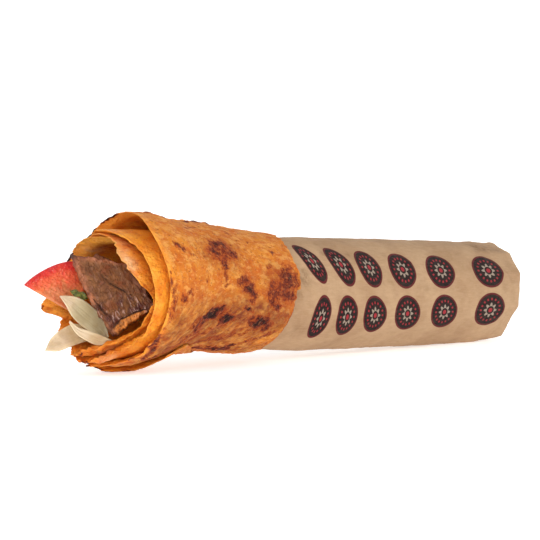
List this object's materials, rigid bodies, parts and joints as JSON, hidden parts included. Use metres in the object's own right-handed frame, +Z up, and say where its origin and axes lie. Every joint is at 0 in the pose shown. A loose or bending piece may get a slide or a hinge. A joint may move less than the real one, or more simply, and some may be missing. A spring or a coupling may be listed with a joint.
{
  "type": "durum wrap",
  "caption": "Durum wrap lying on its side: a charred flatbread rolled round grilled meat, tomato and onion that show at its open mouth, its lower half in a kraft paper sleeve.",
  "frame": {"origin": "centre of the bounding box, at the level of what the wrap lies on", "axes": "+X along the roll from its open mouth to the sleeve's folded end, +Z up as it lies at rest"},
  "size_m": [0.3088, 0.0684, 0.0688],
  "materials": {
    "flatbread": "matt browned bread",
    "paper_sleeve": "matt unbleached kraft paper with dark round badges",
    "meat": "moist fibrous grilled meat",
    "tomato": "wet cut tomato",
    "onion": "translucent raw onion",
    "parsley": "matt leaf"
  },
  "bodies": {
    "root": {"flatbread": "flatbread", "paper_sleeve": "paper_sleeve", "meat_filling": "meat", "meat_slab": "meat", "meat_slice": "meat", "tomato_wedge": "tomato", "onion_long": "onion", "onion_cup": "onion", "onion_leaf": "onion", "parsley_leaf": "parsley"}
  },
  "joints": []
}
